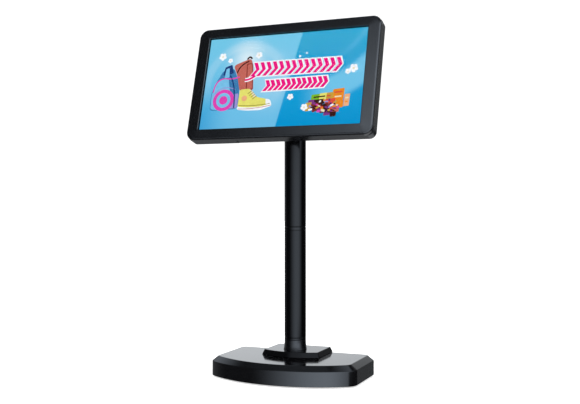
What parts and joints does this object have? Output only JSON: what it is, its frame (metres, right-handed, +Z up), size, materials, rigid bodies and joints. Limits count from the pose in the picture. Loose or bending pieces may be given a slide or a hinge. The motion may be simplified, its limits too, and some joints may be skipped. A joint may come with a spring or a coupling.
{
  "type": "customer pole display",
  "caption": "Counter display for the customer: a lit wide screen on a tilting and swivelling head, carried by a two-piece round pole on a weighted bow-fronted base.",
  "frame": {"origin": "on the counter, at the middle of the footprint of the base with its rear cable grommet", "axes": "+Z up, +Y to the back of the base, +X to the viewer's right; the pole's axis is vertical, 23.35 mm behind the origin"},
  "size_m": [0.2574, 0.1244, 0.4675],
  "materials": {
    "gloss_plastic": "polished black",
    "coated_tube": "semi-gloss black coating",
    "dark_trim": "dark grey, satin",
    "satin_plastic": "fine-textured black",
    "coated_sheet": "black powder coat",
    "cast_iron": "rough cast",
    "rubber": "matt black",
    "nylon": "natural nylon",
    "zinc_steel": "zinc plated",
    "panel_steel": "bare sheet steel",
    "screen_glass": "clear, polished",
    "picture": "lit picture",
    "board": "green solder mask",
    "socket": "black moulded"
  },
  "bodies": {
    "stand": {"ballast_weight": "cast_iron", "base_cover": "gloss_plastic", "base_plate": "coated_sheet", "base_screw_1": "zinc_steel", "base_screw_2": "zinc_steel", "base_screw_3": "zinc_steel", "base_screw_4": "zinc_steel", "cable_grommet": "rubber", "flange_bolt_1": "zinc_steel", "flange_bolt_2": "zinc_steel", "flange_bolt_3": "zinc_steel", "flange_bolt_4": "zinc_steel", "foot_front_left": "rubber", "foot_front_right": "rubber", "foot_rear_left": "rubber", "foot_rear_right": "rubber", "joint_ring": "dark_trim", "lower_collar": "dark_trim", "lower_tube": "coated_tube", "neck_bush": "nylon", "pole_flange": "gloss_plastic", "tube_joiner": "dark_trim", "upper_tube": "coated_tube"},
    "swivel_head": {"hinge_head": "coated_sheet", "swivel_nut": "zinc_steel", "swivel_washer": "nylon"},
    "display": {"backlight_unit": "panel_steel", "board_screw_1": "zinc_steel", "board_screw_2": "zinc_steel", "bracket_screw_1": "zinc_steel", "bracket_screw_2": "zinc_steel", "bracket_screw_3": "zinc_steel", "bracket_screw_4": "zinc_steel", "button_switch": "board", "chassis_screw_1": "zinc_steel", "chassis_screw_2": "zinc_steel", "chassis_screw_3": "zinc_steel", "chassis_screw_4": "zinc_steel", "cover_screw_1": "zinc_steel", "cover_screw_2": "zinc_steel", "cover_screw_3": "zinc_steel", "cover_screw_4": "zinc_steel", "driver_board": "board", "friction_washer_left": "nylon", "friction_washer_right": "nylon", "front_bezel": "satin_plastic", "hinge_bolt": "zinc_steel", "hinge_bracket": "coated_sheet", "hinge_nut": "zinc_steel", "inlet_grommet": "rubber", "lcd_cell": "picture", "panel_chassis": "panel_steel", "power_socket": "socket", "rear_cover": "satin_plastic", "screen_glass": "screen_glass", "video_socket": "socket"},
    "button": {"power_button": "satin_plastic"}
  },
  "joints": [
    {"name": "swivel", "type": "hinge", "parent": "stand", "child": "swivel_head", "pos_m": [0, 0.02335, 0.3481], "axis": [0, 0, 1], "range_deg": [-170, 170]},
    {"name": "tilt", "type": "hinge", "parent": "swivel_head", "child": "display", "pos_m": [0, 0.02335, 0.3732], "axis": [-1, 0, 0], "range_deg": [-20, 30]},
    {"name": "power_press", "type": "slide", "parent": "display", "child": "button", "axis": [0, -0.9622, 0.2723], "range_m": [0, 0.001], "stiffness_N_per_m": 400, "springref_m": -0.002}
  ]
}
